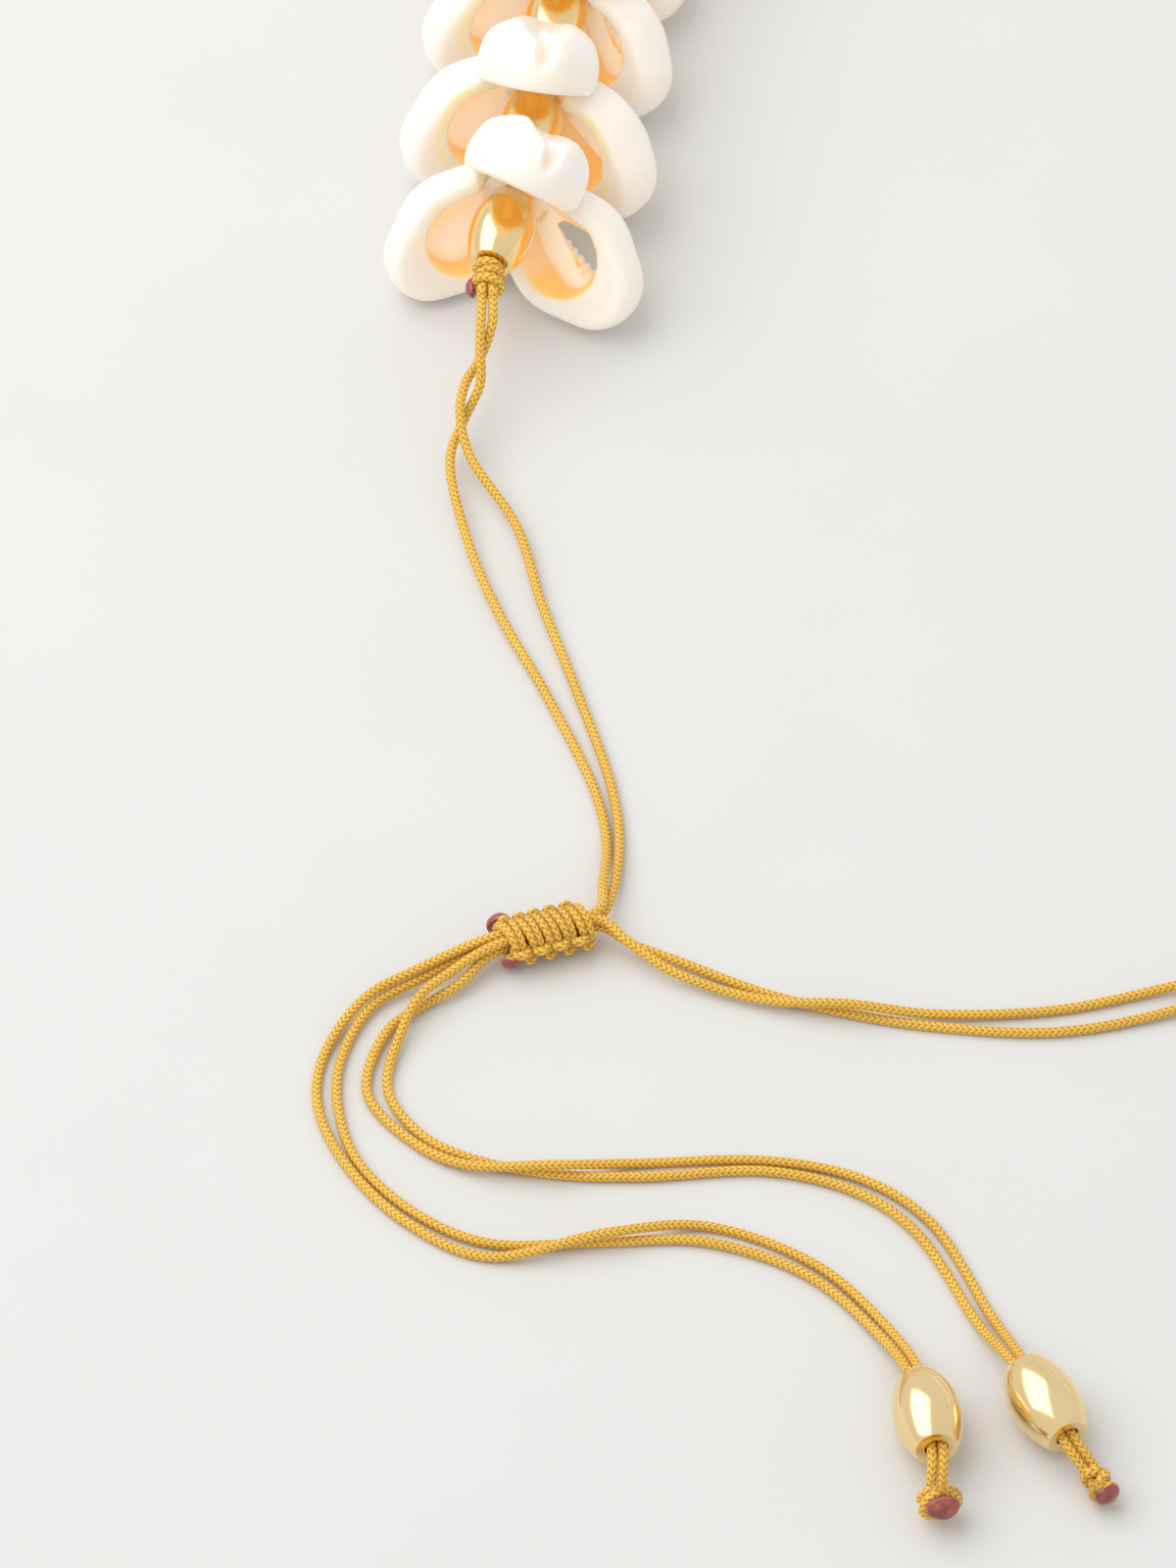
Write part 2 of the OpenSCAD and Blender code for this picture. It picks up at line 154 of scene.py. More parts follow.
# A smooth line through given points, with its samples the same step apart
def smooth_line(points, step, closed=False):
    p = np.array(points, dtype=float)
    if closed:
        p = np.vstack([p[-1:], p, p[:2]])
    else:
        p = np.vstack([2 * p[0] - p[1], p, 2 * p[-1] - p[-2]])
    knots = np.concatenate([[0], np.cumsum(np.linalg.norm(np.diff(p, axis=0), axis=1) ** 0.5)])
    line = []
    for i in range(1, len(p) - 2):
        t = np.linspace(knots[i], knots[i + 1], 40, endpoint=False)[:, None]
        k = knots[i - 1:i + 3]
        a = [
            (k[j + 1] - t) / (k[j + 1] - k[j]) * p[i - 1 + j]
            + (t - k[j]) / (k[j + 1] - k[j]) * p[i + j]
            for j in range(3)
        ]
        b = [
            (k[j + 2] - t) / (k[j + 2] - k[j]) * a[j] + (t - k[j]) / (k[j + 2] - k[j]) * a[j + 1]
            for j in range(2)
        ]
        line.append((k[2] - t) / (k[2] - k[1]) * b[0] + (t - k[1]) / (k[2] - k[1]) * b[1])
    line.append(p[-2:-1])
    line = np.vstack(line)
    run = np.concatenate([[0], np.cumsum(np.linalg.norm(np.diff(line, axis=0), axis=1))])
    count = max(2, round(run[-1] / step))
    marks = np.linspace(0, run[-1], count + 1)
    return np.stack([np.interp(marks, run, line[:, c]) for c in range(3)], axis=1)


# A round braid: columns of slanting stitches that meet in chevrons
cord_d = 1.0
cord_pitch, knot_pitch = 0.636, 0.6
braid_columns = 8
braid_relief = 0.12
braid_swell = 0.35


def braid_height(u, v):
    column = np.floor(v)
    w = v - column - 0.5
    lean = 1 - 2 * np.mod(column, 2)
    stitch = np.abs(np.sin(np.pi * (u + lean * w * 0.8)))
    return stitch ** 0.6 * (1 - 0.4 * np.abs(2 * w) ** 3)


def braided_tube(name, points, width, pitch=cord_pitch, sides=24, steps=5, closed=False):
    """A braid along a line; returns the piece and its line. The UV map counts stitches."""
    line = smooth_line(points, pitch / steps, closed)
    if closed:
        line = line[:-1]
    n = len(line)
    if closed:
        way = np.roll(line, -1, axis=0) - np.roll(line, 1, axis=0)
    else:
        way = np.gradient(line, axis=0)
    way /= np.linalg.norm(way, axis=1)[:, None]
    up = np.cross(way[0], (0.3, 0.2, 1.0))
    ups = []
    for t in way:
        up = up - t * np.dot(up, t)
        up /= np.linalg.norm(up)
        ups.append(up)
    ups = np.array(ups)
    across = np.cross(way, ups)
    spin = np.zeros(n)
    if closed:
        end = ups[-1] - way[0] * np.dot(ups[-1], way[0])
        twist = math.atan2(np.dot(end, across[0]), np.dot(end, ups[0]))
        spin = -twist * np.arange(n) / n
    angle = (np.arange(sides) / sides * 2 * math.pi)[None, :] + spin[:, None]
    u = np.arange(n)[:, None] / steps
    v = np.arange(sides)[None, :] / sides * braid_columns
    radius = width / 2 * (1 + braid_relief * (braid_swell - 1 + braid_height(u, v)))
    rings = line[:, None, :] + radius[:, :, None] * (
        np.cos(angle)[:, :, None] * ups[:, None, :] + np.sin(angle)[:, :, None] * across[:, None, :]
    )
    vertices = rings.reshape(-1, 3) * MM
    faces, uvs = [], []
    for i in range(n if closed else n - 1):
        j = (i + 1) % n
        for k in range(sides):
            m = (k + 1) % sides
            faces.append((i * sides + k, i * sides + m, j * sides + m, j * sides + k))
            v0, v1 = k / sides * braid_columns, (k + 1) / sides * braid_columns
            u0, u1 = i / steps, (i + 1) / steps
            uvs += [(u0, v0), (u0, v1), (u1, v1), (u1, v0)]
    if not closed:
        faces.append(tuple(range(sides - 1, -1, -1)))
        faces.append(tuple((n - 1) * sides + k for k in range(sides)))
        uvs += [(0, k / sides * braid_columns) for k in range(sides - 1, -1, -1)]
        uvs += [((n - 1) / steps, k / sides * braid_columns) for k in range(sides)]
    mesh = bpy.data.meshes.new(name)
    mesh.from_pydata(vertices.tolist(), [], faces)
    layer = mesh.uv_layers.new(name="braid")
    layer.data.foreach_set("uv", np.array(uvs, dtype=np.float32).ravel())
    mesh.polygons.foreach_set("use_smooth", [True] * len(mesh.polygons))
    obj = bpy.data.objects.new(name, mesh)
    bpy.context.collection.objects.link(obj)
    return obj, line * MM


# Shader helper: a Wire is a socket that sums and products can be written with
class Wire:
    def __init__(self, look, socket):
        self.look = look
        self.socket = socket

    def maths(self, operation, other=None, swap=False):
        pair = [self] if other is None else [self, other]
        if swap:
            pair.reverse()
        return self.look.node("ShaderNodeMath", dict(enumerate(pair)), operation=operation)

    def __add__(self, other):
        return self.maths("ADD", other)

    def __radd__(self, other):
        return self.maths("ADD", other, True)

    def __sub__(self, other):
        return self.maths("SUBTRACT", other)

    def __rsub__(self, other):
        return self.maths("SUBTRACT", other, True)

    def __mul__(self, other):
        return self.maths("MULTIPLY", other)

    def __rmul__(self, other):
        return self.maths("MULTIPLY", other, True)

    def __truediv__(self, other):
        return self.maths("DIVIDE", other)

    def __pow__(self, other):
        return self.maths("POWER", other)

    def ramp(self, low, high):
        return self.look.node(
            "ShaderNodeMapRange", {0: self, 1: low, 2: high}, interpolation_type="SMOOTHSTEP"
        )


class Look:
    def __init__(self, name):
        self.material = bpy.data.materials.new(name)
        self.material.use_nodes = True
        self.tree = self.material.node_tree
        self.tree.nodes.clear()

    def node(self, kind, sockets=None, out=0, **settings):
        made = self.tree.nodes.new(kind)
        for key, value in settings.items():
            setattr(made, key, value)
        for key, value in (sockets or {}).items():
            socket = made.inputs[key]
            if isinstance(value, Wire):
                self.tree.links.new(value.socket, socket)
            elif isinstance(value, tuple) and len(value) == 3 and socket.type == "RGBA":
                socket.default_value = value + (1,)
            else:
                socket.default_value = value
        return Wire(self, made.outputs[out])

    def mix(self, factor, a, b):
        return self.node("ShaderNodeMix", {0: factor, 6: a, 7: b}, out=2, data_type="RGBA")

    def place(self):
        return self.node("ShaderNodeTexCoord", out="Object")

    def attribute(self, name, out="Vector"):
        return self.node("ShaderNodeAttribute", out=out, attribute_name=name)

    def split(self, vector):
        made = self.node("ShaderNodeSeparateXYZ", {0: vector})
        return [Wire(self, made.socket.node.outputs[i]) for i in range(3)]

    def noise(self, vector, scale, detail):
        return self.node(
            "ShaderNodeTexNoise", {"Vector": vector, "Scale": scale, "Detail": detail}
        )

    def stretch(self, vector, scale):
        return self.node("ShaderNodeMapping", {"Vector": vector, "Scale": scale})

    def bump(self, height, distance, strength=1.0):
        return self.node(
            "ShaderNodeBump", {"Height": height, "Distance": distance, "Strength": strength}
        )

    def finish(self, **sockets):
        named = {key.replace("_", " "): value for key, value in sockets.items()}
        shader = self.node("ShaderNodeBsdfPrincipled", named)
        output = self.tree.nodes.new("ShaderNodeOutputMaterial")
        self.tree.links.new(shader.socket, output.inputs[0])
        return self.material


def shade(colour, share):
    return tuple(c * share for c in colour)


def cord_look(name, light, shaded_colour):
    look = Look(name)
    braid = look.node("ShaderNodeUVMap", uv_map="braid")
    u, v, _ = look.split(braid)
    column = v.maths("FLOOR")
    w = v - column - 0.5
    lean = 1 - 2 * column.maths("MODULO", 2)
    slant = u + lean * w * 0.8
    stitch = (slant * math.pi).maths("SINE").maths("ABSOLUTE")
    edge = (2 * w).maths("ABSOLUTE") ** 3
    height = stitch ** 0.6 * (1 - 0.4 * edge)
    fibres = look.noise(look.stretch(braid, (2.2, 9.0, 1.0)), 1.6, 2)
    drift = look.noise(look.place(), 90, 2)
    depth = height.ramp(0.1, 0.95)
    bright = look.mix(drift.ramp(0.3, 0.7), light, shade(light, 0.9))
    # painted shade in the braid's valleys and painted highlight on the stitch tops, mixed with the
    # fibres' own streaks
    colour = look.mix(depth * (0.65 + 0.6 * fibres), shaded_colour, bright)
    # painted shade, darker where the strands of a knot meet
    crease_shade = look.attribute("braid_crease", "Fac")
    colour = look.mix(crease_shade * 0.52, colour, shade(shaded_colour, 0.55))
    return look.finish(
        Base_Color=colour,
        Roughness=0.47 - 0.17 * depth,
        Specular_IOR_Level=0.6,
        Specular_Tint=(1.0, 0.76, 0.36),
        Normal=look.bump(height + fibres * 0.25, 0.00005, 0.7),
    )


def gold_look(name, colour):
    look = Look(name)
    place = look.place()
    haze = look.noise(place, 260, 4)
    scratches = look.noise(look.stretch(place, (1.0, 7.0, 3.0)), 900, 2)
    return look.finish(
        Base_Color=look.mix(haze.ramp(0.3, 0.7), colour, shade(colour, 0.94)),
        Metallic=1.0,
        Roughness=0.1 + 0.07 * haze + 0.03 * scratches,
        Normal=look.bump(scratches, 0.000004, 0.25),
    )


def shell_look(name):
    look = Look(name)
    place = look.attribute("shell_place")
    tone = look.attribute("shell_tone", "Fac")
    # 1 on an inner whorl, 0 off it, and -1 all over a shell whose hollow is amber
    core = look.attribute("shell_core", "Fac")
    amber = 0 - core
    x, y, z = look.split(place)
    # how far a point lies outside the skin of the hollow
    along = ((x + 4.8) / 5.5).maths("MAXIMUM", 0.0).maths("MINIMUM", 1.0)
    dx = x + 4.8 - 5.5 * along
    dz = z + 1.0
    away = (dx * dx + y * y + dz * dz) ** 0.5 - (2.9 + 1.8 * along)
    clouds = look.noise(place, 0.22, 3)
    veins = look.noise(look.stretch(place, (0.35, 1.4, 0.8)), 0.9, 3)
    inside = 1 - (away + (veins - 0.5) * 0.3).ramp(-0.1, 0.5)
    # ivory outside, with painted warm shade towards the cut rim plus each shell's own warmth, and
    # apricot in the groove of the mouth
    outer = look.mix(clouds.ramp(0.4, 0.75), (0.945, 0.908, 0.856), (0.935, 0.84, 0.75))
    outer = look.mix(z.ramp(-5.0, -0.5) * 0.45 + tone * 0.2, outer, (0.94, 0.84, 0.73))
    groove = (1 - (y + 1.15).maths("ABSOLUTE").ramp(0.3, 1.1)) * x.ramp(5.4, 6.4)
    groove = groove * (1 - z.ramp(-4.2, -2.6)) * (0.25 + 0.6 * tone)
    outer = look.mix(groove, outer, (0.95, 0.68, 0.45))
    # apricot or amber inside
    hollow = look.mix(clouds.ramp(0.3, 0.7), (0.91, 0.585, 0.205), (0.92, 0.645, 0.285))
    hollow = look.mix(amber, hollow, (0.82, 0.6, 0.2))
    # a fine yellow line round the cut rim, on some shells longer than on others
    ring = (away - 1.0 - (clouds - 0.5) * 1.3).maths("ABSOLUTE")
    streak = (1 - ring.ramp(0.1, 0.7)) * z.ramp(-1.1, -0.4)
    patch = look.noise(look.stretch(place, (0.5, 0.5, 0.2)), 0.3, 1)
    streak = streak * (patch + tone * 0.22).ramp(0.56, 0.7)
    skin = look.mix(streak * 0.75, look.mix(inside, outer, hollow), (0.98, 0.84, 0.36))
    skin = look.mix(core * 0.9, skin, (1.0, 0.92, 0.86))
    # painted glow: emission that stands in for light let through the thin shell, and lifts the
    # shade on its outside
    warm = look.mix(amber, (0.92, 0.57, 0.17), (0.72, 0.5, 0.14))
    painted_glow = look.mix(inside, (0.3, 0.27, 0.23), look.mix(core, warm, (0.75, 0.65, 0.54)))
    grain = look.noise(look.stretch(place, (1.0, 3.0, 2.0)), 1.7, 4)
    return look.finish(
        Base_Color=skin,
        Roughness=0.3 + 0.12 * grain,
        Subsurface_Weight=0.6,
        Subsurface_Radius=(1.0, 0.55, 0.32),
        Subsurface_Scale=0.003,
        Specular_IOR_Level=0.5,
        Coat_Weight=0.12,
        Coat_Roughness=0.22,
        Emission_Color=painted_glow,
        Emission_Strength=0.27,
        Normal=look.bump(grain, 0.00006, 0.35),
    )


def melted_look(name):
    look = Look(name)
    place = look.place()
    cloud = look.noise(place, 700, 3)
    rim = look.noise(place, 1500, 2)
    colour = look.mix(cloud.ramp(0.35, 0.65), (0.21, 0.035, 0.04), (0.42, 0.09, 0.05))
    colour = look.mix(rim.ramp(0.6, 0.75) * 0.5, colour, (0.62, 0.25, 0.12))
    return look.finish(
        Base_Color=colour,
        Roughness=0.12 + 0.15 * cloud,
        Coat_Weight=0.6,
        Coat_Roughness=0.08,
        Subsurface_Weight=0.1,
        Subsurface_Radius=(1.0, 0.3, 0.2),
        Subsurface_Scale=0.0004,
        Normal=look.bump(cloud, 0.0001, 0.35),
    )


def floor_look(name):
    look = Look(name)
    paper = look.noise(look.place(), 40, 4)
    return look.finish(
        Base_Color=look.mix(paper.ramp(0.3, 0.7), (0.735, 0.735, 0.72), (0.745, 0.745, 0.73)),
        Roughness=0.7 + 0.1 * paper,
        Specular_IOR_Level=0.25,
    )


cord_material = cord_look("golden_braid", (1.0, 0.66, 0.12), (0.44, 0.14, 0.008))
gold_material = gold_look("pale_gold", (1.0, 0.76, 0.39))
shell_material = shell_look("sliced_cowrie")
melted_material = melted_look("melted_cord")


def dress(obj, material, slot, *nodes):
    obj.data.materials.clear()
    obj.data.materials.append(material)
    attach(obj, "root")
    if nodes:
        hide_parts(*nodes)
    return obj


# Four cords, two from each end of the strand
cords = {}
for cord_name, route, side in (
    ("cord_a_outer", route_a, 1), ("cord_a_inner", route_a, -1),
    ("cord_b_outer", route_b, 1), ("cord_b_inner", route_b, -1),
):
    cords[cord_name] = braided_tube("braided_" + cord_name, one_cord(route, side), cord_d)
    dress(cords[cord_name][0], cord_material, "cord", cord_name)


# Ways to select and shape as by hand
def pick(obj):
    bpy.ops.object.select_all(action="DESELECT")
    obj.select_set(True)
    bpy.context.view_layer.objects.active = obj


def modify(obj, kind, **settings):
    pick(obj)
    modifier = obj.modifiers.new(kind.lower(), kind)
    for key, value in settings.items():
        setattr(modifier, key, value)
    bpy.ops.object.modifier_apply(modifier=modifier.name)


def copied(obj, name):
    twin = obj.copy()
    twin.data = obj.data.copy()
    twin.name = name
    bpy.context.collection.objects.link(twin)
    return twin


def joined(name, parts):
    bpy.ops.object.select_all(action="DESELECT")
    for part in parts:
        part.select_set(True)
    bpy.context.view_layer.objects.active = parts[0]
    bpy.ops.object.join()
    parts[0].name = name
    return parts[0]


def turned_round(name, profile, segments=64):
    """A body of revolution about Z: a circle extruded and resized ring by ring."""
    z, r = profile[0]
    bpy.ops.object.select_all(action="DESELECT")
    bpy.ops.mesh.primitive_circle_add(vertices=segments, radius=r, location=(0, 0, 0))
    obj = bpy.context.object
    obj.name = name
    bpy.ops.object.mode_set(mode="EDIT")
    bpy.ops.mesh.select_all(action="SELECT")
    bpy.ops.transform.translate(value=(0, 0, z))
    for z2, r2 in profile[1:]:
        bpy.ops.mesh.extrude_region_move(TRANSFORM_OT_translate={"value": (0, 0, z2 - z)})
        bpy.ops.transform.resize(value=(r2 / r, r2 / r, 1), center_override=(0, 0, z2))
        z, r = z2, r2
    bpy.ops.mesh.select_all(action="SELECT")
    bpy.ops.mesh.remove_doubles(threshold=0.0005)
    bpy.ops.mesh.normals_make_consistent(inside=False)
    bpy.ops.object.mode_set(mode="OBJECT")
    bpy.ops.object.shade_smooth()
    return obj


# The barrel bead, in millimetres: a bulging body, crisp flat ends and a drilled hole
bead_length, bead_d, bead_face_d, bead_hole_d = 9.4, 6.8, 4.3, 2.3
sag = (bead_d - bead_face_d) / 2
barrel_r = (bead_length ** 2 / 4 + sag ** 2) / (2 * sag)


def barrel_radius(z):
    return bead_d / 2 - barrel_r + math.sqrt(barrel_r ** 2 - z * z)


half = bead_length / 2
face_r, hole_r = bead_face_d / 2, bead_hole_d / 2
edge = 0.06
lip = 0.12
# one end from its crisp outer edge, over the flat face and the rounded lip, into the hole
bead_end = [
    (half - 0.02, face_r - 0.03), (half, face_r - 0.1), (half, hole_r + lip + 0.25),
    (half, hole_r + lip), (half - 0.035, hole_r + 0.035), (half - lip, hole_r),
    (half - lip - 0.3, hole_r),
]
bead_profile = (
    [(-half, face_r - 0.1), (-half + 0.02, face_r - 0.03)]
    + [(z, barrel_radius(z)) for z in np.linspace(-half + edge, half - edge, 25)]
    + bead_end
    + [(-z, r) for z, r in bead_end[:0:-1]]
)
bead_model = turned_round("bead_model", bead_profile)
modify(bead_model, "WEIGHTED_NORMAL", keep_sharp=True)

bead_model.data.transform(Matrix.Rotation(math.pi / 2, 4, "Y"))


# The strand's way round, in millimetres
layer_count = 23
tab_t = 1.6
tab_pitch = 1.9
bead_gap = 0.45
layer_pitch = bead_length + 3 * tab_pitch - 0.3 + 2 * bead_gap
strand_length = layer_count * layer_pitch + bead_length
bend_r = 60
first_straight, first_turn = 47, 155.6
second_straight, second_turn = 63.4, 90.9


def go_straight(p, d):
    h = math.radians(p[2])
    return (p[0] + d * math.cos(h), p[1] + d * math.sin(h), p[2])


def go_round(p, d):
    h0, h1 = math.radians(p[2]), math.radians(p[2]) - d / bend_r
    return (
        p[0] + bend_r * (math.sin(h0) - math.sin(h1)),
        p[1] - bend_r * (math.cos(h0) - math.cos(h1)),
        math.degrees(h1),
    )


end_bead_step = bead_length + bead_gap / 2
strand_parts = [
    (first_straight - end_bead_step, go_straight),
    (bend_r * math.radians(first_turn), go_round),
    (second_straight, go_straight),
    (bend_r * math.radians(second_turn), go_round),
    (strand_length, go_straight),
]


# The end bead points its own way, and the rest of the strand follows from there
def strand_place(s):
    if s < end_bead_step:
        return go_straight(end_bead_place, s)
    p = go_straight(end_bead_place, end_bead_step)[:2] + (strand_heading,)
    s -= end_bead_step
    for length, way in strand_parts:
        if s <= length:
            return way(p, s)
        p = way(p, length)
        s -= length
    return p


def on_strand(s):
    x, y, heading = strand_place(s)
    return Matrix.Translation((x, y, strand_z)) @ Matrix.Rotation(math.radians(heading), 4, "Z")


to_metres = Matrix.Scale(MM, 4)


def placed(model, name, where):
    twin = copied(model, name)
    twin.data.transform(to_metres @ where)
    return twin


strand_beads = joined("gold_strand_beads", [
    placed(bead_model, "bead", on_strand(i * layer_pitch + bead_length / 2))
    for i in range(layer_count + 1)
])
dress(strand_beads, gold_material, "gold", "spacer_beads")

for i, (place, heading, tilt) in enumerate(tail_beads):
    where = (
        Matrix.Translation(place) @ Matrix.Rotation(math.radians(heading), 4, "Z")
        @ Matrix.Rotation(math.radians(-tilt), 4, "Y")
    )
    letter = "ab"[i]
    dress(placed(bead_model, "gold_tail_bead_" + letter, where), gold_material, "gold",
          "tail_bead_" + letter)
bpy.data.objects.remove(bead_model)

# The thread that carries beads and shells
thread_d = 1.6
thread_marks = np.linspace(0.1, strand_length - 0.1, 180)
thread, _ = braided_tube(
    "stringing_braid", [strand_place(s)[:2] + (strand_z,) for s in thread_marks], thread_d,
    pitch=1.0, sides=16, steps=4,
)
dress(thread, cord_material, "cord", "stringing_thread")


# Sliced cowries, in millimetres: long axis +X, cut rim on top at z = 0, mouth slit below
# balls are (x, y, z, radius) and stand under one skin
hole_x, hole_drop = -7.9, 2.7
core_r = bead_d / 2 + 1.2
rear_trim = 3.6
front_trim = 1.6
bead_room = 3.9
thread_room = 1.05
base_z = -7.4
outer_balls = [(-6.9, 0, -2.2, 4.0), (1.0, 0, -2.2, 6.7), (5.1, 0, -2.2, 5.0)]
shoulder_balls = [(-30, 0, 1.2, 8.9), (30, 0, 1.2, 8.9)]
valley_balls = [(-5, -0.2, -9.7, 2.9), (14, -0.9, -9.3, 4.3)]
hollow_balls = [(-4.8, 0, -1, 2.9), (0.7, 0, -1, 4.7)]
groove_balls = [
    (6.2, -0.9, -5.9, 1.05), (7.9, -1.1, -5.6, 1.05), (9.3, -1.3, -4.4, 1.0),
    (10.0, -1.3, -3.0, 0.6),
]
slit_top, slit_middle, slit_stretch = -3.9, -5.8, 4
tooth_start, tooth_step, tooth_y, tooth_r = -3.4, 1.1, -1.2, 0.4


def hull_of_balls(name, balls, segments=48):
    parts = []
    for x, y, z, r in balls:
        bpy.ops.object.select_all(action="DESELECT")
        bpy.ops.mesh.primitive_uv_sphere_add(
            segments=segments, ring_count=segments // 2, radius=r, location=(x, y, z)
        )
        parts.append(bpy.context.object)
    bpy.ops.object.select_all(action="DESELECT")
    obj = joined(name, parts)
    bpy.ops.object.transform_apply(location=True, rotation=True, scale=True)
    bpy.ops.object.mode_set(mode="EDIT")
    bpy.ops.mesh.select_all(action="SELECT")
    bpy.ops.mesh.convex_hull()
    bpy.ops.mesh.select_all(action="SELECT")
    bpy.ops.mesh.normals_make_consistent(inside=False)
    bpy.ops.object.mode_set(mode="OBJECT")
    return obj


def cut_plane(obj, point, normal):
    pick(obj)
    bpy.ops.object.mode_set(mode="EDIT")
    bpy.ops.mesh.select_all(action="SELECT")
    bpy.ops.mesh.bisect(plane_co=point, plane_no=normal, use_fill=True, clear_outer=True)
    bpy.ops.object.mode_set(mode="OBJECT")


def block(name, low, high):
    size = [b - a for a, b in zip(low, high)]
    middle = [(a + b) / 2 for a, b in zip(low, high)]
    bpy.ops.object.select_all(action="DESELECT")
    bpy.ops.mesh.primitive_cube_add(size=1, location=middle)
    obj = bpy.context.object
    obj.name = name
    obj.scale = size
    bpy.ops.object.transform_apply(location=True, rotation=True, scale=True)
    return obj


def carve(obj, cutter, keep=False, operation="DIFFERENCE"):
    modify(obj, "BOOLEAN", object=cutter, operation=operation, solver="EXACT")
    if not keep:
        bpy.data.objects.remove(cutter)


def cowrie(name, core_balls, slit_balls, teeth):
    """A sliced shell, and the whorl inside it, which its colours follow.

    The slit's balls are (x, y, radius), and stretched upright.
    """
    shell = hull_of_balls(name, outer_balls)
    cut_plane(shell, (0, 0, 0), (0, 0, 1))
    cut_plane(shell, (0, 0, base_z), (0, 0, -1))
    # rounded shoulders, and a base that falls away to the mouth between two lobes
    carve(shell, hull_of_balls("shoulders", shoulder_balls), operation="INTERSECT")
    carve(shell, hull_of_balls("valley", valley_balls, 32))
    modify(shell, "REMESH", mode="VOXEL", voxel_size=0.3)
    modify(shell, "SMOOTH", factor=0.5, iterations=18)
    modify(shell, "DISPLACE", strength=0.12, mid_level=0)
    # the hollow, and the inner whorl or the mouth's inner lip standing in it
    core = hull_of_balls("core", core_balls, 28)
    inner = copied(core, "inner")
    carve(inner, shell, keep=True, operation="INTERSECT")
    carve(shell, hull_of_balls("hollow", hollow_balls))
    carve(shell, inner, operation="UNION")
    # the mouth: a slit through the floor, and its groove out through the wide end
    slit = hull_of_balls("slit", [
        (x, y, slit_middle / slit_stretch, r) for x, y, r in slit_balls
    ], 20)
    pick(slit)
    slit.scale = (1, 1, slit_stretch)
    bpy.ops.object.transform_apply(location=True, rotation=True, scale=True)
    cut_plane(slit, (0, 0, slit_top), (0, 0, 1))
    carve(shell, slit)
    carve(shell, hull_of_balls("groove", groove_balls, 20))
    for i in range(teeth):
        x = tooth_start + i * tooth_step
        carve(shell, hull_of_balls(
            "tooth", [(x, tooth_y, z, tooth_r) for z in (slit_top + 0.3, base_z - 1.6)], 10
        ))
    return shell, core


shell_open = cowrie(
    "shell_open", [(-5.2, 0.6, -4.4, 1.0), (-1.0, -1.9, -4.6, 1.1), (5.2, -2.8, -4.3, 1.1)],
    [(-4.2, -0.35, 0.6), (0.8, 0.25, 1.35), (5.2, -0.1, 0.8)], 7,
)
shell_full = cowrie(
    "shell_full", [(-4.6, 0.8, -4.4, 1.8), (2.4, 1.2, -5.6, 3.1), (3.8, 0.2, -5.2, 2.2)],
    [(2.6, 0.0, 0.5), (3.6, 0.0, 0.5)], 0,
)

# How the shells of a layer hang, as in the model: azimuth, flare, swing, roll, size
layer_looks = [
    [(-32, 31.5, 5, -14, 0.99), (211, 36, 1, 4, 0.95), (79, 41, -3, -11, 0.97)],
    [(-26, 37, 2, 4, 0.96), (207, 36, -2, 0, 0.98), (88, 46, 0, -1, 0.95)],
    [(-30, 39, 0, 0, 0.95), (205, 33, 0, -3, 0.99), (88, 38, 0, 0, 0.96)],
    [(-32, 38, 0, -4, 0.96), (210, 37, 0, 3, 0.95), (92, 37, 0, -3, 0.97)],
    [(-28, 35, 0, 2, 0.98), (212, 38, 0, -2, 0.95), (91, 39, 0, 4, 0.94)],
]
# which of them show the open mouth, the others showing the full inner whorl
open_looks = {(0, 0), (3, 1), (4, 2), (2, 0)}
# the last of a layer's three stands up over the strand, and its hollow is amber
upright_place = 2
# triangles of a shell, in the layers nearest to the camera and in the others
near_layers = 3
near_faces, far_faces = 8600, 4200

# room for the bead in front, for the next shells behind, and for the thread
reach = 24
cutter = joined("cutter", [
    block("behind", (tab_t / 2, -reach / 2, core_r - reach), (reach, reach / 2, rear_trim)),
    block("front", (-reach, -reach / 2, core_r - reach), (-tab_t / 2, reach / 2, front_trim)),
])
for radius, depth, x in (
    (bead_room, reach, -reach / 2 - tab_t / 2), (bead_room, reach, reach / 2 + tab_t / 2),
    (thread_room, 6, 0),
):
    bpy.ops.object.select_all(action="DESELECT")
    bpy.ops.mesh.primitive_cylinder_add(
        vertices=40, radius=radius, depth=depth, location=(x, 0, 0), rotation=(0, math.pi / 2, 0)
    )
    rod = bpy.context.object
    bpy.ops.object.transform_apply(location=True, rotation=True, scale=True)
    carve(cutter, rod, operation="UNION")


def hang(azimuth, flare, swing, roll, size):
    """The turn about the strand, and the shell's own place in front of it."""
    around = Matrix.Rotation(math.radians(90 - azimuth), 4, "X")
    own = (
        Matrix.Rotation(math.radians(-90 - flare), 4, "Y")
        @ Matrix.Rotation(math.radians(swing), 4, "Z")
        @ Matrix.Rotation(math.radians(roll), 4, "X")
        @ Matrix.Scale(size, 4)
        @ Matrix.Translation((-hole_x, 0, hole_drop))
    )
    return around, own


def mark_shell(obj, own, core, amber):
    """Keep each point's place in its own shell, and how near it is to the inner whorl.

    On a shell whose hollow is amber, shell_core is -1 all over instead.
    """
    back = own.inverted()
    count = len(obj.data.vertices)
    places = np.empty(count * 3, dtype=np.float32)
    near = np.empty(count, dtype=np.float32)
    tree = surface_of(core)
    for i, vertex in enumerate(obj.data.vertices):
        p = back @ vertex.co
        places[3 * i:3 * i + 3] = p
        near[i] = -1.0 if amber else nearness(tree, p)
    new_attribute = obj.data.attributes.new
    new_attribute("shell_place", "FLOAT_VECTOR", "POINT").data.foreach_set("vector", places)
    new_attribute("shell_core", "FLOAT", "POINT").data.foreach_set("value", near)


def surface_of(obj):
    return BVHTree.FromPolygons(
        [v.co for v in obj.data.vertices], [tuple(p.vertices) for p in obj.data.polygons]
    )


